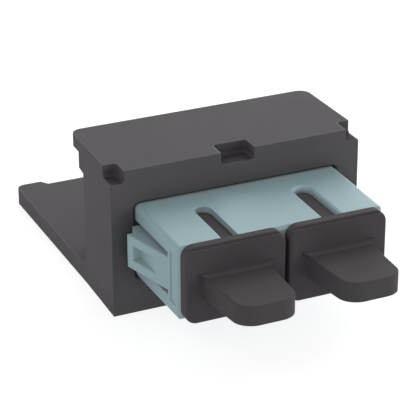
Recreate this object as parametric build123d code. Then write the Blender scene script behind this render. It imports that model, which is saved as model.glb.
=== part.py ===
from build123d import *
import math
import os

os.makedirs("parts", exist_ok=True)

# Housing: X across the face, Y from the face back, Z up from the flat underside
face_thickness = 1.2
side_depth = 9.2
side_thickness = 1.55
side_draft = 0.22
top_thickness = 3.6
top_block_depth = 11.8
top_block_inset = 0.6
top_block_slope = 0.5
hook_drop = 1.05
hook_overlap = 1.0
ledge_depth = 13.6
ledge_thickness = 1.55
ledge_corner = 1.4
arm_length = 34.9
arm_thickness = 2.15
arm_corner = 1.1
arm_fillet = 2.0
ear_width = 3.45
ear_height = 1.05
ear_ramp = 0.7
ledge_fillet = 1.0
pocket_depth = 2.5
pocket_height = 1.55
middle_pocket_width = 4.25
end_pocket_width = 1.7
pocket_corner = 0.5
pocket_chamfer = 0.3
opening_corner = 0.5
opening_edge = 0.2

# Adapter: two moulded halves welded face to face at the middle of the flange
port_pitch = 12.7
port_width = 9.0
port_height = 7.3
port_lead_in = 0.3
adapter_side_wall = 2.0
adapter_top_wall = 1.03
adapter_clearance_x = 0.12
adapter_clearance_z = 0.1
adapter_half_length = 13.9
adapter_taper = 0.7
adapter_edge = 0.6
adapter_end_chamfer = 0.35
flange_half_thickness = 0.9
flange_lap_x = 1.03
flange_lap_z = 0.52
flange_corner = 0.8
flange_side_gap = 0.3
flange_top_gap = 0.25
keyway_width = 2.1
keyway_length = 8.5
keyway_edge = 0.45
keyway_rim_band = 0.5

# Latch fingers moulded in the sides of the front half
finger_root = 8.85
finger_height = 4.1
finger_slot = 0.65
finger_inner = 1.2
finger_overlap = 0.4
finger_root_inset = 0.17
window_end_gap = 0.1
finger_ramp = 1.75
finger_shoulder = 1.6
finger_step = 0.65
finger_nose_rake = 23.0
finger_pocket_height = 1.85
finger_pocket_depth = 1.05
finger_pocket_near = 1.0
finger_pocket_far = 5.8
side_panel_start = 0.6
side_panel_length = 1.5
side_panel_height = 6.15
side_panel_depth = 0.15

# Sleeve holders with their hook arms, one in each half of each port
holder_lap_x = 0.35
holder_lap_z = 0.325
holder_plate_thickness = 1.0
holder_clearance = 0.05
barrel_wall = 0.7
sleeve_clearance = 0.1
lip_clearance = 0.25
lip_thickness = 0.75
hook_thickness = 0.6
hook_clearance = 0.2
hook_height = 3.4
hook_reach = 9.4
hook_catch = 0.45
hook_catch_length = 1.5

# Split alignment sleeves
ferrule_radius = 1.25
sleeve_wall = 0.35
sleeve_length = 11.4
sleeve_slit = 0.5
sleeve_end_gap = 0.1
sleeve_chamfer = 0.12

# Dust caps
cap_gap = 0.5
cap_lap = 0.975
cap_rise = 0.1
cap_thickness = 1.45
cap_corner = 1.4
cap_edge = 0.3
cap_step_drop = 0.28
cap_step_depth = 0.45
plug_clearance = 0.15
plug_wall = 0.5
plug_length = 7.2
plug_corner = 0.6
key_clearance = 0.1
key_top_drop = 0.8
key_end_gap = 0.15
tab_root_width = 8.1
tab_tip_width = 6.95
tab_length = 8.9
tab_root_thickness = 2.75
tab_tip_thickness = 2.35
tab_root_top = 1.15
tab_tip_top = 1.4
tab_corner = 2.25
tab_edge = 0.2
brow_width = 9.1
brow_height = 0.45
brow_reach = 0.35
brow_cove = 0.4
brow_inset = 0.15
brow_overlap = 0.1

# Sizes that follow from the ports: adapter, opening round it, flange behind the face, housing
adapter_width = port_pitch + port_width + 2 * adapter_side_wall
adapter_height = port_height + 2 * adapter_top_wall
opening_width = adapter_width + 2 * adapter_clearance_x
opening_height = adapter_height + 2 * adapter_clearance_z
flange_width = opening_width + 2 * flange_lap_x
flange_height = opening_height + 2 * flange_lap_z
housing_width = flange_width + 2 * (flange_side_gap + side_thickness)
housing_height = flange_height + 2 * (flange_top_gap + top_thickness)
cap_width = port_pitch - cap_gap
cap_height = port_height + 2 * cap_lap
plug_width = port_width - 2 * plug_clearance
plug_height = port_height - 2 * plug_clearance
hook_outer = plug_width / 2 - plug_wall - hook_clearance
sleeve_outer = ferrule_radius + sleeve_wall

# Places worked out from the sizes above
face_y = -arm_length / 2
axis_z = housing_height / 2
weld_y = face_y + face_thickness + flange_half_thickness
adapter_front_y = weld_y - adapter_half_length
port_centres = {"left": -port_pitch / 2, "right": port_pitch / 2}

# Room for cutters to run past a face, and the closeness used to pick edges
past = 1.0
near = 0.01


def block(x0, x1, y0, y1, z0, z1):
    """A rectangular block between two corners."""
    size = Box(x1 - x0, y1 - y0, z1 - z0)
    return Pos((x0 + x1) / 2, (y0 + y1) / 2, (z0 + z1) / 2) * size


def side_profile(points, fillets, width):
    """A profile drawn in Y and Z, with some corners rounded, extruded across X about the middle."""
    outline = make_face(Polyline(*points, close=True))
    for (y, z), radius in fillets:
        corner = outline.vertices().sort_by_distance(Vector(y, z, 0))[0]
        outline = fillet(corner, radius)
    plane = Plane(origin=(0, 0, 0), x_dir=(0, 1, 0), z_dir=(1, 0, 0))
    return extrude(plane * outline, width / 2, both=True)


def plan_profile(points, z0, z1):
    """A profile drawn in X and Y, extruded between two heights."""
    outline = make_face(Polyline(*points, close=True))
    return Pos(0, 0, z0) * extrude(outline, z1 - z0)


def facing(y, toward_front):
    """A plane across Y whose normal points to the front or to the back, with Z up."""
    normal = (0, -1, 0) if toward_front else (0, 1, 0)
    across = (1, 0, 0) if toward_front else (-1, 0, 0)
    return Plane(origin=(0, y, axis_z), x_dir=across, z_dir=normal)


def make_housing():
    """The one-piece module: face, sides, thick top with its ledge, and the latch arm."""
    back_y = face_y + side_depth
    ledge_y = face_y + ledge_depth
    arm_y = face_y + arm_length
    ledge_z = housing_height - ledge_thickness
    half = housing_width / 2

    upper = side_profile(
        [
            (face_y, 0),
            (back_y + arm_fillet, 0),
            (back_y + arm_fillet, arm_thickness),
            (back_y, arm_thickness),
            (back_y, ledge_z),
            (ledge_y, ledge_z),
            (ledge_y, housing_height),
            (face_y, housing_height),
        ],
        [((back_y, ledge_z), ledge_fillet)],
        housing_width,
    )
    plan = make_face(
        Polyline(
            (-half, face_y),
            (half, face_y),
            (half - side_draft, ledge_y),
            (-half + side_draft, ledge_y),
            close=True,
        )
    )
    plan = fillet(plan.vertices().group_by(Axis.Y)[-1], ledge_corner)
    upper = upper & extrude(plan, housing_height)

    block_y = face_y + top_block_depth
    ceiling = housing_height - top_thickness
    hooks = side_profile(
        [
            (back_y - hook_overlap, ceiling - hook_drop),
            (back_y, ceiling - hook_drop),
            (block_y, ceiling - hook_drop + top_block_slope),
            (block_y, ledge_z + ledge_thickness / 2),
            (back_y - hook_overlap, ledge_z + ledge_thickness / 2),
        ],
        [],
        housing_width - 2 * top_block_inset,
    )
    upper = upper + hooks

    arm_back = arm_y - ear_height
    ear_x = half - ear_width
    waist = half - side_draft * side_depth / ledge_depth
    arm_plan = make_face(
        Polyline(
            (-waist, back_y),
            (-half, face_y),
            (half, face_y),
            (waist, back_y),
            (half, arm_y),
            (ear_x, arm_y),
            (ear_x - ear_ramp, arm_back),
            (-ear_x + ear_ramp, arm_back),
            (-ear_x, arm_y),
            (-half, arm_y),
            close=True,
        )
    )
    corners = arm_plan.vertices().filter_by(lambda v: abs(v.X) > half - near and v.Y > arm_back)
    arm_plan = fillet(corners, arm_corner)
    arm = extrude(arm_plan, arm_thickness)

    cavity = block(
        -half + side_thickness,
        half - side_thickness,
        face_y + face_thickness,
        arm_y,
        arm_thickness,
        ledge_z,
    )
    top_block = side_profile(
        [
            (face_y + face_thickness / 2, ceiling),
            (back_y, ceiling),
            (block_y, ceiling + top_block_slope),
            (block_y, ledge_z + ledge_thickness / 2),
            (face_y + face_thickness / 2, ledge_z + ledge_thickness / 2),
        ],
        [],
        housing_width - 2 * top_block_inset,
    )
    housing = (upper - cavity) + top_block + arm

    root = housing.edges().filter_by(Axis.X)
    root = root.filter_by(lambda e: abs(e.center().Y - back_y) < near)
    root = root.filter_by(lambda e: abs(e.center().Z - arm_thickness) < near)
    housing = fillet(root, arm_fillet)

    section = RectangleRounded(opening_width, opening_height, opening_corner)
    housing = housing - extrude(facing(face_y, True) * section, -face_thickness)
    rim = housing.faces().sort_by(Axis.Y)[0].inner_wires().edges()
    housing = chamfer(rim, opening_edge)

    pocket_z = housing_height - pocket_height
    pocket_y = face_y + pocket_depth
    for x0, x1 in (
        (-half - past, -half + end_pocket_width),
        (-middle_pocket_width / 2, middle_pocket_width / 2),
        (half - end_pocket_width, half + past),
    ):
        pocket = block(x0, x1, face_y - past, pocket_y, pocket_z, housing_height + past)
        pocket = fillet(pocket.edges().filter_by(Axis.Z), pocket_corner)
        pocket = chamfer(pocket.faces().sort_by(Axis.Z)[0].edges(), pocket_chamfer)
        housing = housing - pocket
    return housing


def make_adapter_half(toward_front):
    """One welded half: flange plate, tapered body, two ports, keyways and holder seats."""
    sign = -1 if toward_front else 1
    plane = facing(weld_y, toward_front)
    section = RectangleRounded(adapter_width, adapter_height, adapter_edge)
    body = extrude(plane * section, adapter_half_length, taper=adapter_taper)
    mouth = body.faces().sort_by(Axis.Y)[0 if toward_front else -1]
    body = chamfer(mouth.edges(), adapter_end_chamfer)
    rim = RectangleRounded(flange_width, flange_height, flange_corner)
    half = body + extrude(plane * rim, flange_half_thickness)

    seat_width = port_width + 2 * (holder_lap_x + holder_clearance)
    seat_height = port_height + 2 * (holder_lap_z + holder_clearance)
    for x in port_centres.values():
        section = Pos(x * -sign, 0, 0) * Rectangle(port_width, port_height)
        half = half - extrude(plane * section, adapter_half_length)
        seat = Pos(x * -sign, 0, 0) * Rectangle(seat_width, seat_height)
        half = half - extrude(plane * seat, holder_plate_thickness)

    mouth_y = weld_y + sign * adapter_half_length
    lead = half.faces().filter_by(Axis.Y).sort_by(Axis.Y)[0 if toward_front else -1]
    half = chamfer(lead.inner_wires().edges(), port_lead_in)

    top = axis_z + adapter_height / 2
    for x in port_centres.values():
        slot_y = mouth_y - sign * (keyway_length - keyway_width / 2)
        y0, y1 = sorted((mouth_y + sign * past, slot_y))
        slot = block(x - keyway_width / 2, x + keyway_width / 2, y0, y1, axis_z, top + past)
        slot = slot + Pos(x, slot_y, axis_z) * extrude(Circle(keyway_width / 2), top + past - axis_z)
        half = half - slot

    rims = half.edges().filter_by(lambda e: e.center().Z > top - keyway_rim_band)
    for x in port_centres.values():
        inside = keyway_width / 2 + near
        rim = rims.filter_by(lambda e: abs(e.center().X - x) < inside)
        rim = rim.filter_by(lambda e: abs(e.center().Y - weld_y) > flange_half_thickness + near)
        rim = rim.filter_by(lambda e: e.bounding_box().size.Y > keyway_edge)
        half = fillet(rim, keyway_edge)
    return half


def finger_outer(y):
    """How far the ramp of a latch finger stands from the middle plane at a place along the side."""
    root_y = face_y - finger_root
    shoulder_y = face_y - finger_shoulder
    share = (y - root_y) / (shoulder_y - root_y)
    return adapter_width / 2 + finger_ramp * share


def make_fingers(front_half):
    """The front half with its side windows, latch fingers and shallow panels."""
    root_y = face_y - finger_root
    shoulder_y = face_y - finger_shoulder
    shoulder_x = finger_outer(shoulder_y)
    nose_top = shoulder_x - finger_step
    nose_x = nose_top - math.tan(math.radians(finger_nose_rake)) * finger_shoulder
    inner_x = adapter_width / 2 - finger_inner
    z0 = axis_z - finger_height / 2
    z1 = axis_z + finger_height / 2
    port_side = (port_pitch + port_width) / 2
    panel_y = root_y - side_panel_start
    outer = adapter_width / 2 - math.tan(math.radians(adapter_taper)) * (weld_y - panel_y)
    half = front_half
    for side in (-1, 1):
        x0, x1 = sorted((side * (port_side - past), side * (adapter_width / 2 + past)))
        window_y = face_y + face_thickness - window_end_gap
        half = half - block(x0, x1, root_y, window_y, z0 - finger_slot, z1 + finger_slot)
        finger = plan_profile(
            [
                (side * inner_x, root_y - finger_overlap),
                (side * (adapter_width / 2 - finger_root_inset), root_y - finger_overlap),
                (side * (adapter_width / 2 - finger_root_inset), root_y),
                (side * shoulder_x, shoulder_y),
                (side * nose_top, shoulder_y),
                (side * nose_x, face_y),
                (side * inner_x, face_y),
            ],
            z0,
            z1,
        )
        near_y = shoulder_y - finger_pocket_near
        far_y = shoulder_y - finger_pocket_far
        pocket = plan_profile(
            [
                (side * (shoulder_x + past), near_y),
                (side * (finger_outer(near_y) - finger_pocket_depth), near_y),
                (side * finger_outer(far_y), far_y),
                (side * (shoulder_x + past), far_y),
            ],
            axis_z - finger_pocket_height / 2,
            axis_z + finger_pocket_height / 2,
        )
        half = half + (finger - pocket)
        x0, x1 = sorted((side * (outer - side_panel_depth), side * (outer + past)))
        z_low = axis_z - side_panel_height / 2
        z_high = axis_z + side_panel_height / 2
        half = half - block(x0, x1, panel_y - side_panel_length, panel_y, z_low, z_high)
    return half


def make_holder(x, toward_front):
    """A plate with the barrel that keeps the sleeve, and the two hook arms that grip a plug."""
    plane = facing(weld_y, toward_front)
    sign = -1 if toward_front else 1
    local_x = x * -sign
    barrel_length = sleeve_length / 2 + sleeve_end_gap + lip_thickness
    plate = Rectangle(port_width + 2 * holder_lap_x, port_height + 2 * holder_lap_z)
    holder = extrude(plane * Pos(local_x, 0, 0) * plate, holder_plate_thickness)
    stand = (Align.CENTER, Align.CENTER, Align.MIN)
    bore_radius = sleeve_outer + sleeve_clearance
    lip_radius = ferrule_radius + lip_clearance
    barrel = Cylinder(bore_radius + barrel_wall, barrel_length, align=stand)
    holder = holder + plane * Pos(local_x, 0, 0) * barrel
    bore = Cylinder(bore_radius, barrel_length - lip_thickness, align=stand)
    through = Cylinder(lip_radius, barrel_length, align=stand)
    holder = holder - plane * Pos(local_x, 0, 0) * (bore + through)
    inner = hook_outer - hook_thickness
    catch_y = hook_reach - hook_catch_length
    for side in (-1, 1):
        arm = make_face(
            Polyline(
                (side * inner, 0),
                (side * inner, catch_y),
                (side * (inner - hook_catch), catch_y),
                (side * (inner - hook_catch), catch_y + hook_catch),
                (side * inner, hook_reach),
                (side * hook_outer, hook_reach),
                (side * hook_outer, 0),
                close=True,
            )
        )
        arm_plane = Plane(origin=(x, weld_y, axis_z), x_dir=(1, 0, 0), z_dir=(0, 0, 1))
        if toward_front:
            arm = mirror(arm, Plane.XZ)
        holder = holder + extrude(arm_plane * arm, hook_height / 2, both=True)
    return holder


def make_sleeve(x):
    """A ceramic tube with one slit along its whole length."""
    tube = Cylinder(sleeve_outer, sleeve_length) - Cylinder(ferrule_radius, sleeve_length)
    inner_edges = tube.edges().filter_by(GeomType.CIRCLE).filter_by(lambda e: e.radius < sleeve_outer)
    tube = chamfer(inner_edges, sleeve_chamfer)
    slit = Pos(0, sleeve_outer, 0) * Box(sleeve_slit, sleeve_outer, sleeve_length)
    tube = tube - slit
    return Pos(x, weld_y, axis_z) * Rot(90, 0, 0) * tube


def make_cap(x):
    """A dust cap: hollow plug with its key, rounded cover plate, brow and grip tab."""
    plane = facing(adapter_front_y, True)
    plate_section = Pos(x, cap_rise, 0) * RectangleRounded(cap_width, cap_height, cap_corner)
    plate = extrude(plane * plate_section, cap_thickness)
    cover = plate.faces().sort_by(Axis.Y)[0]
    plate = fillet(cover.edges(), cap_edge)
    front_y = adapter_front_y - cap_thickness
    top_z = axis_z + cap_rise + cap_height / 2
    step_y = front_y + cap_step_depth
    step_z = top_z - cap_step_drop
    plate = plate - block(x - cap_width, x + cap_width, front_y - past, step_y, step_z, top_z + past)

    back = facing(adapter_front_y, False) * Pos(-x, 0, 0)
    plug = extrude(back * RectangleRounded(plug_width, plug_height, plug_corner), plug_length)
    inside = Rectangle(plug_width - 2 * plug_wall, plug_height - 2 * plug_wall)
    hollow = extrude(back * inside, plug_length)

    key_radius = keyway_width / 2 - key_clearance
    key_top = axis_z + adapter_height / 2 - key_top_drop
    key_root = axis_z + plug_height / 2 - plug_wall
    key_y = adapter_front_y + keyway_length - key_end_gap - key_radius
    key = block(x - key_radius, x + key_radius, adapter_front_y, key_y, key_root, key_top)
    key = key + Pos(x, key_y, key_root) * extrude(Circle(key_radius), key_top - key_root)
    cap = plate + (plug - hollow) + key

    tip_y = front_y - tab_length
    root_y = front_y + cap_thickness / 2
    tab_side = side_profile(
        [
            (root_y, axis_z + tab_root_top),
            (tip_y, axis_z + tab_tip_top),
            (tip_y, axis_z + tab_tip_top - tab_tip_thickness),
            (root_y, axis_z + tab_root_top - tab_root_thickness),
        ],
        [],
        2 * cap_width,
    )
    plan = make_face(
        Polyline(
            (x - tab_root_width / 2, root_y),
            (x - tab_tip_width / 2, tip_y),
            (x + tab_tip_width / 2, tip_y),
            (x + tab_root_width / 2, root_y),
            close=True,
        )
    )
    plan = fillet(plan.vertices().group_by(Axis.Y)[0], tab_corner)
    tab = (Pos(x, 0, 0) * tab_side) & extrude(plan, housing_height)
    for flat in (tab.faces().sort_by(Axis.Z)[0], tab.faces().sort_by(Axis.Z)[-1]):
        tab = fillet(flat.edges().filter_by(lambda e: e.center().Y < root_y - near), tab_edge)

    brow_z = axis_z + tab_root_top
    brow_top = brow_z + brow_height
    foot = tab_root_width / 2 - brow_inset
    front_outline = make_face(
        Polyline(
            (x - foot, brow_z - brow_overlap),
            (x + foot, brow_z - brow_overlap),
            (x + foot, brow_z),
            (x + brow_width / 2, brow_top),
            (x - brow_width / 2, brow_top),
            (x - foot, brow_z),
            close=True,
        )
    )
    reach_y = front_y - brow_reach
    cove_side = side_profile(
        [
            (front_y + brow_overlap, brow_z - brow_overlap),
            (front_y + brow_overlap, brow_top),
            (reach_y, brow_top),
            (reach_y, brow_z),
            (reach_y - past, brow_z),
            (reach_y - past, brow_z - brow_overlap),
        ],
        [((reach_y, brow_z), brow_cove)],
        2 * cap_width,
    )
    brow_plane = Plane(origin=(0, front_y + brow_overlap, 0), x_dir=(1, 0, 0), z_dir=(0, -1, 0))
    brow_depth = brow_overlap + brow_reach + brow_cove
    brow = extrude(brow_plane * front_outline, brow_depth) & (Pos(x, 0, 0) * cove_side)
    return cap + tab + brow


def write(shape, name):
    """One closed solid to one file."""
    export_step(shape, "parts/" + name + ".step")


write(make_housing(), "module_housing")
write(make_fingers(make_adapter_half(True)), "adapter_front_half")
write(make_adapter_half(False), "adapter_rear_half")
for where, centre in port_centres.items():
    write(make_holder(centre, True), "sleeve_holder_front_" + where)
    write(make_holder(centre, False), "sleeve_holder_rear_" + where)
    write(make_sleeve(centre), "split_sleeve_" + where)
    write(make_cap(centre), "dust_cap_" + where)
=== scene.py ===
"""Finishes, light and camera for a snap-in fibre adapter module."""

import math

import bmesh
import bpy
from mathutils import Matrix, Vector

bl_info = {
    "name": "Fibre adapter module",
    "version": (1, 0, 0),
    "blender": (4, 5, 0),
    "location": "3D View > Sidebar > Adapter module",
    "description": "Dresses the adapter module and sets up its studio",
    "category": "Object",
}

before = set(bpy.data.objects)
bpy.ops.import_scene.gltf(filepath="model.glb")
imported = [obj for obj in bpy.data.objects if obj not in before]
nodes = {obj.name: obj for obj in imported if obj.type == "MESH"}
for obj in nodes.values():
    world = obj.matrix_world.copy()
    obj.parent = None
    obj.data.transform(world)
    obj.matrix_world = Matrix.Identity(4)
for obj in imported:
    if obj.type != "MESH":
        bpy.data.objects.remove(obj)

# Lengths are in metres, apart from the camera's sensor and lens.

# The housing's front face, its outer sides and the floors of its three pockets, how
# deep the pockets go, how far up their painted shade fades, and how near a wall it starts
FACE_Y = -0.01745
HALF_WIDTH = 0.01585
POCKET_FLOOR_Z = 0.01675
POCKET_DEPTH = 0.0026
POCKET_FADE = 0.0004
FACE_MARGIN = 0.00001
SIDE_MARGIN = 0.00003

# Spans over which a mask goes from nothing to full, the last two for the noise that
# shades the colour and the roughness
EDGE_SPAN = (0.06, 0.45)
PAINTED_SHADE_SPAN = (0.05, 0.85)
UPWARD_SPAN = (0.2, 0.9)
STREAK_SPAN = (0.62, 0.74)
PATCH_SPAN = (0.52, 0.68)
SHADE_SPAN = (0.3, 0.7)
ROUGH_SPAN = (0.25, 0.75)

# How much of the edge mask, which paints a highlight and adds polish, is left where an edge
# doesn't face up, and the edges' extra polish
SIDE_EDGE_SHARE = 0.1
EDGE_POLISH = 0.08

# Height up to which what the module stands on isn't taken for a recess, so that it gives no
# painted shade
FLOOR_REACH = 0.003

# Patterns of the skin: noise cells per metre, the turn and stretch of the scuffs, and
# the height of the grain
FLOW_SCALE = 160.0
STREAK_SCALE = 1900.0
PATCH_SCALE = 260.0
STREAK_TURN = (0.3, 0.2, 0.7)
STREAK_STRETCH = (1.0, 0.12, 1.0)
GRAIN_DEPTH = 0.00002

# How the plastics bend light, and how deep red, green and blue light go in
PLASTIC_IOR = 1.5
GLOW_DEPTH = (0.0006, 0.0008, 0.0008)

# Rays spent on each point's closeness to a wall, and on each softened edge
CLOSENESS_SAMPLES = 8
BEVEL_SAMPLES = 6

# The floor: half its side, the space left under the module so that the two don't
# coincide, and its own grey
FLOOR_HALF_SIDE = 2.0
FLOOR_GAP = 0.00002
FLOOR_GREY = (0.5, 0.5, 0.5, 1.0)

# How bright the floor and the surroundings look, whatever light they throw
FLOOR_SEEN = 0.78
WORLD_SEEN = 1.0
WHITE = (1.0, 1.0, 1.0, 1.0)

# Soft lamps: name, place, side of its square and the setting with its power
LAMPS = (
    ("Back lamp", (0.292, 0.31, 0.258), 0.55, "back_power"),
    ("Right lamp", (0.4288, -0.2556, 0.0776), 0.4, "right_power"),
    ("Left lamp", (-0.3317, -0.1995, 0.3294), 0.4, "left_power"),
)
LAMP_AIM = (0.0, -0.008, 0.008)

# The camera's sensor in millimetres, and how near and far it sees
SENSOR_WIDTH = 36.0
NEAREST = 0.01
FARTHEST = 10.0


# ---------------------------------------------------------------- settings


class ModuleFinishSettings(bpy.types.PropertyGroup):
    """Colours and grain of the module's plastics."""

    housing_colour: bpy.props.FloatVectorProperty(
        name="Housing colour",
        description="Dark grey of the snap-in housing",
        subtype="COLOR",
        size=4,
        min=0.0,
        max=1.0,
        default=(0.115, 0.107, 0.115, 1.0),
    )
    adapter_colour: bpy.props.FloatVectorProperty(
        name="Adapter colour",
        description="Pale aqua of the twin adapter body",
        subtype="COLOR",
        size=4,
        min=0.0,
        max=1.0,
        default=(0.342, 0.494, 0.522, 1.0),
    )
    cap_colour: bpy.props.FloatVectorProperty(
        name="Dust cap colour",
        description="Dark grey of the two dust caps",
        subtype="COLOR",
        size=4,
        min=0.0,
        max=1.0,
        default=(0.086, 0.079, 0.085, 1.0),
    )
    holder_colour: bpy.props.FloatVectorProperty(
        name="Sleeve holder colour",
        description="Off-white of the hook and barrel holders inside the ports",
        subtype="COLOR",
        size=4,
        min=0.0,
        max=1.0,
        default=(0.7, 0.7, 0.66, 1.0),
    )
    sleeve_colour: bpy.props.FloatVectorProperty(
        name="Sleeve colour",
        description="White of the ceramic alignment sleeves",
        subtype="COLOR",
        size=4,
        min=0.0,
        max=1.0,
        default=(0.86, 0.85, 0.82, 1.0),
    )
    edge_radius: bpy.props.FloatProperty(
        name="Edge radius",
        description="Softness of the moulded edges",
        subtype="DISTANCE",
        unit="LENGTH",
        min=0.0,
        default=0.00018,
    )
    # Reach of the painted shade that darkens the colour near neighbouring walls, as in
    # recesses
    painted_shade_reach: bpy.props.FloatProperty(
        name="Recess reach",
        description="How far from a neighbouring wall a recess starts to look deeper",
        subtype="DISTANCE",
        unit="LENGTH",
        min=0.0,
        default=0.0026,
    )
    grain_size: bpy.props.FloatProperty(
        name="Grain size",
        description="Distance from one grain of the moulded skin to the next",
        subtype="DISTANCE",
        unit="LENGTH",
        min=0.00001,
        default=0.00022,
    )


class ModuleStageSettings(bpy.types.PropertyGroup):
    """Place of the camera and strength of the lights."""

    camera_place: bpy.props.FloatVectorProperty(
        name="Camera place",
        description="Where the camera stands, from the centre of the underside",
        subtype="XYZ",
        unit="LENGTH",
        size=3,
        default=(-0.082309, -0.191849, 0.102718),
    )
    camera_azimuth: bpy.props.FloatProperty(
        name="Camera azimuth",
        description="Turn of the camera round the module, from straight in front",
        subtype="ANGLE",
        unit="ROTATION",
        default=math.radians(-24.235),
    )
    camera_elevation: bpy.props.FloatProperty(
        name="Camera elevation",
        description="Tilt of the camera above the horizon",
        subtype="ANGLE",
        unit="ROTATION",
        default=math.radians(25.464),
    )
    camera_roll: bpy.props.FloatProperty(
        name="Camera roll",
        description="Turn of the camera round its own line of sight",
        subtype="ANGLE",
        unit="ROTATION",
        default=math.radians(-0.215),
    )
    camera_lens: bpy.props.FloatProperty(
        name="Lens",
        description="Focal length in millimetres on a sensor 36 mm wide",
        min=1.0,
        default=157.77,
    )
    world_strength: bpy.props.FloatProperty(
        name="Surrounding light",
        description="Strength of the even light from all round",
        min=0.0,
        default=0.36,
    )
    floor_strength: bpy.props.FloatProperty(
        name="Floor light",
        description="Light that the white floor throws up on the module",
        min=0.0,
        default=0.27,
    )
    back_power: bpy.props.FloatProperty(
        name="Back light",
        description="Power of the large soft lamp behind on the right",
        unit="POWER",
        min=0.0,
        default=1.74,
    )
    right_power: bpy.props.FloatProperty(
        name="Right light",
        description="Power of the large soft lamp low on the right",
        unit="POWER",
        min=0.0,
        default=1.27,
    )
    left_power: bpy.props.FloatProperty(
        name="Left light",
        description="Power of the large soft lamp above on the left",
        unit="POWER",
        min=0.0,
        default=0.43,
    )


# ------------------------------------------------------------- node groups


def new_group(name, inputs, outputs):
    """A shader node group with named sockets, and its two end nodes."""
    tree = bpy.data.node_groups.new(name, "ShaderNodeTree")
    for label, kind, default in inputs:
        socket = tree.interface.new_socket(name=label, in_out="INPUT", socket_type=kind)
        if default is not None:
            socket.default_value = default
    for label, kind in outputs:
        tree.interface.new_socket(name=label, in_out="OUTPUT", socket_type=kind)
    return tree, tree.nodes.new("NodeGroupInput"), tree.nodes.new("NodeGroupOutput")


def feed(tree, value, socket):
    """Sets a socket to a number, or links it to another socket."""
    if isinstance(value, bpy.types.NodeSocket):
        tree.links.new(value, socket)
    else:
        socket.default_value = value


def calc(tree, operation, first, second=None, clamp=False):
    """A Math node. Each operand is a socket or a number."""
    node = tree.nodes.new("ShaderNodeMath")
    node.operation = operation
    node.use_clamp = clamp
    feed(tree, first, node.inputs[0])
    if second is not None:
        feed(tree, second, node.inputs[1])
    return node.outputs[0]


def noise(tree, vector, scale, detail, rough):
    """A Noise node on a vector, and its value."""
    node = tree.nodes.new("ShaderNodeTexNoise")
    node.inputs["Detail"].default_value = detail
    node.inputs["Roughness"].default_value = rough
    tree.links.new(vector, node.inputs["Vector"])
    feed(tree, scale, node.inputs["Scale"])
    return node.outputs["Fac"]


def remap(tree, value, span, result=(0.0, 1.0)):
    """A clamped Map Range node, from a span of the value to a span of the result."""
    node = tree.nodes.new("ShaderNodeMapRange")
    for label, number in zip(("From Min", "From Max"), span):
        node.inputs[label].default_value = number
    for label, number in zip(("To Min", "To Max"), result):
        node.inputs[label].default_value = number
    tree.links.new(value, node.inputs["Value"])
    return node.outputs["Result"]


def blend(tree, mask, first, second):
    """A Mix node from one number to another."""
    node = tree.nodes.new("ShaderNodeMix")
    node.data_type = "FLOAT"
    tree.links.new(mask, node.inputs["Factor"])
    node.inputs["A"].default_value = first
    node.inputs["B"].default_value = second
    return node.outputs["Result"]


def object_place(tree):
    """Where a point of the module lies, as a vector."""
    return tree.nodes.new("ShaderNodeTexCoord").outputs["Object"]


def parts_of(tree, vector):
    """The X, Y and Z of a vector."""
    node = tree.nodes.new("ShaderNodeSeparateXYZ")
    tree.links.new(vector, node.inputs[0])
    return node.outputs


def closeness(tree, reach, inside):
    """How close a point is to a wall: of its own piece inside it, or of any round it."""
    node = tree.nodes.new("ShaderNodeAmbientOcclusion")
    node.samples = CLOSENESS_SAMPLES
    node.inside = inside
    node.only_local = inside
    tree.links.new(reach, node.inputs["Distance"])
    return calc(tree, "SUBTRACT", 1.0, node.outputs["AO"])


def edges_and_painted_light_group(name):
    """Normals that round a sharp edge, a mask for a painted highlight and polish on upward
    outer edges, and a mask for painted shade in recesses.
    """
    tree, start, end = new_group(
        name,
        [("Radius", "NodeSocketFloat", 0.0002), ("Recess", "NodeSocketFloat", 0.002)],
        [
            ("Normal", "NodeSocketVector"),
            ("Edge", "NodeSocketFloat"),
            ("Hollow", "NodeSocketFloat"),
        ],
    )
    bevel = tree.nodes.new("ShaderNodeBevel")
    bevel.samples = BEVEL_SAMPLES
    tree.links.new(start.outputs["Radius"], bevel.inputs["Radius"])
    tree.links.new(bevel.outputs["Normal"], end.inputs["Normal"])

    # Painted highlight: outer edges are lightened, fully where they face up, as if lit from
    # above; the same mask also polishes them
    edge = remap(tree, closeness(tree, start.outputs["Radius"], True), EDGE_SPAN)
    facing = parts_of(tree, tree.nodes.new("ShaderNodeNewGeometry").outputs["Normal"])
    upward = remap(tree, facing["Z"], UPWARD_SPAN, (SIDE_EDGE_SHARE, 1.0))
    tree.links.new(calc(tree, "MULTIPLY", edge, upward), end.inputs["Edge"])

    # Painted shade: darker where any wall is near, as in recesses, but not close to the
    # floor
    painted_shade = remap(tree, closeness(tree, start.outputs["Recess"], False), PAINTED_SHADE_SPAN)
    height = parts_of(tree, object_place(tree))["Z"]
    off_floor = remap(tree, height, (0.0, FLOOR_REACH))
    tree.links.new(calc(tree, "MULTIPLY", painted_shade, off_floor), end.inputs["Hollow"])
    return tree


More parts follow.
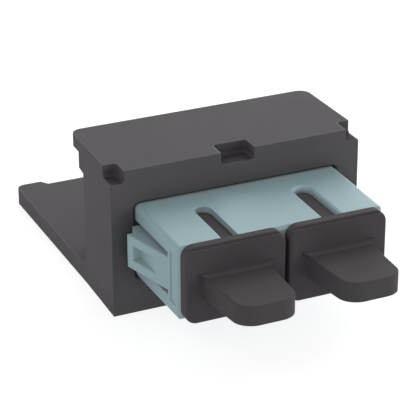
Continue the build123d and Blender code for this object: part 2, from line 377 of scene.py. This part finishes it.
def moulded_skin_group(name):
    """Fine spark-eroded grain, slow flow marks and light handling marks."""
    tree, start, end = new_group(
        name,
        [("Grain size", "NodeSocketFloat", 0.0002)],
        [
            ("Grain", "NodeSocketFloat"),
            ("Flow", "NodeSocketFloat"),
            ("Scuff", "NodeSocketFloat"),
        ],
    )
    place = object_place(tree)
    grain_scale = calc(tree, "DIVIDE", 1.0, start.outputs["Grain size"])
    grain = noise(tree, place, grain_scale, detail=3.0, rough=0.6)
    tree.links.new(grain, end.inputs["Grain"])
    flow = noise(tree, place, FLOW_SCALE, detail=3.0, rough=0.55)
    tree.links.new(flow, end.inputs["Flow"])

    mapping = tree.nodes.new("ShaderNodeMapping")
    mapping.inputs["Rotation"].default_value = STREAK_TURN
    mapping.inputs["Scale"].default_value = STREAK_STRETCH
    tree.links.new(place, mapping.inputs["Vector"])
    stretched = mapping.outputs["Vector"]
    streaks = noise(tree, stretched, STREAK_SCALE, detail=2.0, rough=0.6)
    patches = noise(tree, place, PATCH_SCALE, detail=2.0, rough=0.5)
    streaks = remap(tree, streaks, STREAK_SPAN)
    scuff = calc(tree, "MULTIPLY", streaks, remap(tree, patches, PATCH_SPAN))
    tree.links.new(scuff, end.inputs["Scuff"])
    return tree


def place_group(tree, name, build):
    """A node that places a shared group, which its first use builds."""
    node = tree.nodes.new("ShaderNodeGroup")
    node.node_tree = bpy.data.node_groups.get(name) or build(name)
    return node


# --------------------------------------------------------------- materials


def painted_pocket_shade(tree):
    """A mask of painted shade on the floors of the three pockets in the housing's top front
    edge.
    """
    place = parts_of(tree, object_place(tree))
    fade = (POCKET_FLOOR_Z, POCKET_FLOOR_Z + POCKET_FADE)
    mask = remap(tree, place["Z"], fade, (1.0, 0.0))
    sideways = calc(tree, "ABSOLUTE", place["X"])
    for operation, value, limit in (
        ("GREATER_THAN", place["Z"], POCKET_FLOOR_Z - SIDE_MARGIN),
        ("GREATER_THAN", place["Y"], FACE_Y + FACE_MARGIN),
        ("LESS_THAN", place["Y"], FACE_Y + POCKET_DEPTH),
        ("LESS_THAN", sideways, HALF_WIDTH - SIDE_MARGIN),
    ):
        mask = calc(tree, "MULTIPLY", mask, calc(tree, operation, value, limit))
    return mask


def plastic_colour(tree, colour, look, edge, skin, shaded):
    """The plastic's colour, lighter or darker by its marks, with a painted highlight on its
    edges and painted shade, darker and greyer, in its recesses.
    """
    # Painted shade in recesses, joined by any extra painted shade that is given
    painted_shade = edge.outputs["Hollow"]
    if shaded:
        painted_shade = calc(tree, "MAXIMUM", painted_shade, shaded(tree))
    flow, speckle = look["flow"], look["speckle"]
    shade = remap(tree, skin.outputs["Flow"], SHADE_SPAN, (-flow, flow))
    for layer in (
        remap(tree, skin.outputs["Grain"], SHADE_SPAN, (-speckle, speckle)),
        # Painted highlight on outer edges
        calc(tree, "MULTIPLY", edge.outputs["Edge"], look["painted_edge_highlight"]),
        calc(tree, "MULTIPLY", skin.outputs["Scuff"], look["scuff"]),
        calc(tree, "MULTIPLY", painted_shade, -look["recess"]),
    ):
        shade = calc(tree, "ADD", shade, layer)
    # The painted shade in recesses also greys the colour
    fade = calc(tree, "MULTIPLY", edge.outputs["Hollow"], -look["fade"])

    tint = tree.nodes.new("ShaderNodeHueSaturation")
    tint.inputs["Color"].default_value = colour
    tree.links.new(calc(tree, "ADD", shade, 1.0), tint.inputs["Value"])
    tree.links.new(calc(tree, "ADD", fade, 1.0), tint.inputs["Saturation"])
    return tint.outputs["Color"]


def moulded_plastic(name, colour, settings, look, shaded=None):
    """A moulded plastic: grain, flow marks, scuffs and softened edges, with a painted
    highlight on edges and painted shade in recesses.
    """
    material = bpy.data.materials.new(name)
    material.use_nodes = True
    tree = material.node_tree
    shader = tree.nodes["Principled BSDF"]
    edge = place_group(tree, "Moulded edges", edges_and_painted_light_group)
    edge.inputs["Radius"].default_value = settings.edge_radius * look["edge_width"]
    edge.inputs["Recess"].default_value = settings.painted_shade_reach
    skin = place_group(tree, "Moulded skin", moulded_skin_group)
    skin.inputs["Grain size"].default_value = settings.grain_size * look["grain"]

    base = plastic_colour(tree, colour, look, edge, skin, shaded)
    tree.links.new(base, shader.inputs["Base Color"])

    rough = remap(tree, skin.outputs["Flow"], ROUGH_SPAN, look["roughness"])
    polish = calc(tree, "MULTIPLY", edge.outputs["Edge"], -EDGE_POLISH)
    rough = calc(tree, "ADD", rough, polish, clamp=True)
    tree.links.new(rough, shader.inputs["Roughness"])

    bump = tree.nodes.new("ShaderNodeBump")
    bump.inputs["Strength"].default_value = look["bump"]
    bump.inputs["Distance"].default_value = GRAIN_DEPTH
    tree.links.new(skin.outputs["Grain"], bump.inputs["Height"])
    tree.links.new(edge.outputs["Normal"], bump.inputs["Normal"])
    tree.links.new(bump.outputs["Normal"], shader.inputs["Normal"])

    shader.inputs["IOR"].default_value = PLASTIC_IOR
    shader.inputs["Specular IOR Level"].default_value = look["gloss"]
    shader.inputs["Subsurface Weight"].default_value = look["glow"]
    shader.inputs["Subsurface Radius"].default_value = GLOW_DEPTH
    shader.inputs["Subsurface Scale"].default_value = 1.0
    return material


def finish_nodes(names, material):
    """Gives CAD nodes their material in every slot."""
    for name in names:
        for slot in nodes[name].material_slots:
            slot.material = material


# --------------------------------------------------------------- operators

# In each look, edge_width and grain are shares of the settings' edge radius and grain
# size. flow, speckle and scuff are the shares by which marks change the colour's value,
# the edge share paints a highlight on edges, the recess share paints shade in recesses,
# and fade is the share of saturation that this painted shade takes. bump, gloss and glow
# are the strength of the grain, the specular level and the weight of light through it.


class MODULE_OT_finish_housing(bpy.types.Operator):
    """Dark grey moulded finish of the snap-in housing"""

    bl_idname = "module.finish_housing"
    bl_label = "Finish the housing"

    def execute(self, context):
        settings = context.scene.module_finish
        look = {
            "edge_width": 1.3,
            "grain": 1.0,
            "flow": 0.03,
            "speckle": 0.035,
            "painted_edge_highlight": 1.0,
            "recess": 0.45,
            "fade": 0.0,
            "scuff": 0.06,
            "roughness": (0.6, 0.7),
            "bump": 0.28,
            "gloss": 0.05,
            "glow": 0.0,
        }
        # The housing also gets painted shade on the floors of its pockets
        material = moulded_plastic(
            "Housing plastic", settings.housing_colour, settings, look, painted_pocket_shade
        )
        finish_nodes(["module_housing"], material)
        return {"FINISHED"}


class MODULE_OT_finish_adapter(bpy.types.Operator):
    """Pale aqua satin finish of the two adapter halves"""

    bl_idname = "module.finish_adapter"
    bl_label = "Finish the adapter body"

    def execute(self, context):
        settings = context.scene.module_finish
        look = {
            "edge_width": 1.2,
            "grain": 0.8,
            "flow": 0.015,
            "speckle": 0.015,
            "painted_edge_highlight": 0.35,
            "recess": 0.0,
            "fade": 0.45,
            "scuff": 0.02,
            "roughness": (0.42, 0.5),
            "bump": 0.12,
            "gloss": 0.3,
            "glow": 0.05,
        }
        material = moulded_plastic("Aqua plastic", settings.adapter_colour, settings, look)
        finish_nodes(["adapter_front_half", "adapter_rear_half"], material)
        return {"FINISHED"}


class MODULE_OT_finish_dust_caps(bpy.types.Operator):
    """Dark grey satin finish of the two dust caps"""

    bl_idname = "module.finish_dust_caps"
    bl_label = "Finish the dust caps"

    def execute(self, context):
        settings = context.scene.module_finish
        look = {
            "edge_width": 1.1,
            "grain": 1.1,
            "flow": 0.04,
            "speckle": 0.05,
            "painted_edge_highlight": 0.0,
            "recess": 0.0,
            "fade": 0.0,
            "scuff": 0.06,
            "roughness": (0.56, 0.68),
            "bump": 0.3,
            "gloss": 0.05,
            "glow": 0.0,
        }
        material = moulded_plastic("Dust cap plastic", settings.cap_colour, settings, look)
        finish_nodes(["dust_cap_left", "dust_cap_right"], material)
        return {"FINISHED"}


class MODULE_OT_finish_holders(bpy.types.Operator):
    """Off-white finish of the hook and barrel holders"""

    bl_idname = "module.finish_holders"
    bl_label = "Finish the sleeve holders"

    def execute(self, context):
        settings = context.scene.module_finish
        look = {
            "edge_width": 0.5,
            "grain": 0.7,
            "flow": 0.02,
            "speckle": 0.015,
            "painted_edge_highlight": 0.03,
            "recess": 0.1,
            "fade": 0.0,
            "scuff": 0.01,
            "roughness": (0.38, 0.48),
            "bump": 0.1,
            "gloss": 0.5,
            "glow": 0.1,
        }
        material = moulded_plastic("Holder plastic", settings.holder_colour, settings, look)
        holders = [name for name in nodes if name.startswith("sleeve_holder")]
        finish_nodes(holders, material)
        return {"FINISHED"}


class MODULE_OT_finish_sleeves(bpy.types.Operator):
    """Polished ceramic finish of the split sleeves"""

    bl_idname = "module.finish_sleeves"
    bl_label = "Finish the split sleeves"

    def execute(self, context):
        settings = context.scene.module_finish
        look = {
            "edge_width": 0.3,
            "grain": 0.4,
            "flow": 0.01,
            "speckle": 0.008,
            "painted_edge_highlight": 0.02,
            "recess": 0.0,
            "fade": 0.0,
            "scuff": 0.0,
            "roughness": (0.12, 0.2),
            "bump": 0.03,
            "gloss": 0.6,
            "glow": 0.05,
        }
        material = moulded_plastic("Sleeve ceramic", settings.sleeve_colour, settings, look)
        finish_nodes(["split_sleeve_left", "split_sleeve_right"], material)
        return {"FINISHED"}


# ------------------------------------------------------------------- stage


def seen_directly(tree):
    """One for rays from the camera, a reflection or glass, and zero for other light."""
    rays = tree.nodes.new("ShaderNodeLightPath").outputs
    seen = calc(tree, "ADD", rays["Is Camera Ray"], rays["Is Glossy Ray"])
    return calc(tree, "ADD", seen, rays["Is Transmission Ray"], clamp=True)


def floor_material(light):
    """White paper that keeps a soft shadow, and is clear from underneath."""
    material = bpy.data.materials.new("Floor paper")
    material.use_nodes = True
    tree = material.node_tree
    paper = tree.nodes["Principled BSDF"]
    paper.inputs["Base Color"].default_value = FLOOR_GREY
    paper.inputs["Roughness"].default_value = 0.9
    paper.inputs["Specular IOR Level"].default_value = 0.1
    glow = tree.nodes.new("ShaderNodeEmission")
    glow.inputs["Color"].default_value = WHITE
    strength = blend(tree, seen_directly(tree), light, FLOOR_SEEN)
    tree.links.new(strength, glow.inputs["Strength"])
    add = tree.nodes.new("ShaderNodeAddShader")
    tree.links.new(paper.outputs["BSDF"], add.inputs[0])
    tree.links.new(glow.outputs["Emission"], add.inputs[1])

    sides = tree.nodes.new("ShaderNodeMixShader")
    underneath = tree.nodes.new("ShaderNodeNewGeometry").outputs["Backfacing"]
    clear = tree.nodes.new("ShaderNodeBsdfTransparent")
    tree.links.new(underneath, sides.inputs[0])
    tree.links.new(add.outputs["Shader"], sides.inputs[1])
    tree.links.new(clear.outputs["BSDF"], sides.inputs[2])
    surface = tree.nodes["Material Output"].inputs["Surface"]
    tree.links.new(sides.outputs["Shader"], surface)
    return material


def make_floor(scene, light):
    """A wide flat floor just under the module."""
    mesh = bpy.data.meshes.new("Floor")
    bm = bmesh.new()
    bmesh.ops.create_grid(bm, x_segments=1, y_segments=1, size=FLOOR_HALF_SIDE)
    bmesh.ops.translate(bm, verts=bm.verts, vec=(0.0, 0.0, -FLOOR_GAP))
    bm.to_mesh(mesh)
    bm.free()
    floor = bpy.data.objects.new("Floor", mesh)
    scene.collection.objects.link(floor)
    mesh.materials.append(floor_material(light))


def studio_world(strength):
    """Even light from all round, which shows as white itself and in reflections."""
    world = bpy.data.worlds.new("Studio")
    world.use_nodes = True
    tree = world.node_tree
    back = tree.nodes["Background"]
    back.inputs["Color"].default_value = WHITE
    strength = blend(tree, seen_directly(tree), strength, WORLD_SEEN)
    tree.links.new(strength, back.inputs["Strength"])
    return world


def area_lamp(scene, name, place, side, power):
    """A square soft lamp at a place, turned to the module."""
    lamp = bpy.data.lights.new(name, "AREA")
    lamp.shape = "SQUARE"
    lamp.size = side
    lamp.energy = power
    obj = bpy.data.objects.new(name, lamp)
    scene.collection.objects.link(obj)
    obj.location = place
    obj.rotation_mode = "QUATERNION"
    sight = Vector(LAMP_AIM) - Vector(place)
    obj.rotation_quaternion = sight.to_track_quat("-Z", "Y")


def make_camera(scene, settings):
    """The camera, turned by its azimuth, elevation and roll."""
    azimuth, tilt = settings.camera_azimuth, settings.camera_elevation
    back = Vector(
        (
            math.sin(azimuth) * math.cos(tilt),
            -math.cos(azimuth) * math.cos(tilt),
            math.sin(tilt),
        )
    )
    right = Vector((math.cos(azimuth), math.sin(azimuth), 0.0))
    up = back.cross(right)
    turn = Matrix((right, up, back)).transposed().to_quaternion()
    roll = Matrix.Rotation(settings.camera_roll, 3, "Z").to_quaternion()
    data = bpy.data.cameras.new("Camera")
    data.sensor_width = SENSOR_WIDTH
    data.lens = settings.camera_lens
    data.clip_start = NEAREST
    data.clip_end = FARTHEST
    camera = bpy.data.objects.new("Camera", data)
    scene.collection.objects.link(camera)
    camera.location = settings.camera_place
    camera.rotation_mode = "QUATERNION"
    camera.rotation_quaternion = turn @ roll
    scene.camera = camera


class MODULE_OT_set_stage(bpy.types.Operator):
    """Floor, soft lamps, world and camera"""

    bl_idname = "module.set_stage"
    bl_label = "Set the stage"

    def execute(self, context):
        scene = context.scene
        settings = scene.module_stage
        make_floor(scene, settings.floor_strength)
        scene.world = studio_world(settings.world_strength)
        for name, place, side, power in LAMPS:
            area_lamp(scene, name, place, side, getattr(settings, power))
        make_camera(scene, settings)
        scene.view_settings.view_transform = "Standard"
        return {"FINISHED"}


# ------------------------------------------------------------------- panel


class MODULE_PT_panel(bpy.types.Panel):
    """Steps and settings of the adapter module"""

    bl_idname = "MODULE_PT_panel"
    bl_label = "Adapter module"
    bl_space_type = "VIEW_3D"
    bl_region_type = "UI"
    bl_category = "Adapter module"

    def draw(self, context):
        for settings in (context.scene.module_finish, context.scene.module_stage):
            box = self.layout.box()
            for name in settings.__annotations__:
                box.prop(settings, name)
        for step in STEPS:
            self.layout.operator(step.bl_idname)


STEPS = (
    MODULE_OT_finish_housing,
    MODULE_OT_finish_adapter,
    MODULE_OT_finish_dust_caps,
    MODULE_OT_finish_holders,
    MODULE_OT_finish_sleeves,
    MODULE_OT_set_stage,
)
CLASSES = (ModuleFinishSettings, ModuleStageSettings) + STEPS + (MODULE_PT_panel,)


def register():
    for cls in CLASSES:
        bpy.utils.register_class(cls)
    bpy.types.Scene.module_finish = bpy.props.PointerProperty(type=ModuleFinishSettings)
    bpy.types.Scene.module_stage = bpy.props.PointerProperty(type=ModuleStageSettings)


def unregister():
    del bpy.types.Scene.module_stage
    del bpy.types.Scene.module_finish
    for cls in reversed(CLASSES):
        bpy.utils.unregister_class(cls)


def main():
    """Runs every step in order."""
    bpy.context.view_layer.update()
    register()
    bpy.ops.module.finish_housing()
    bpy.ops.module.finish_adapter()
    bpy.ops.module.finish_dust_caps()
    bpy.ops.module.finish_holders()
    bpy.ops.module.finish_sleeves()
    bpy.ops.module.set_stage()


if __name__ == "__main__":
    main()
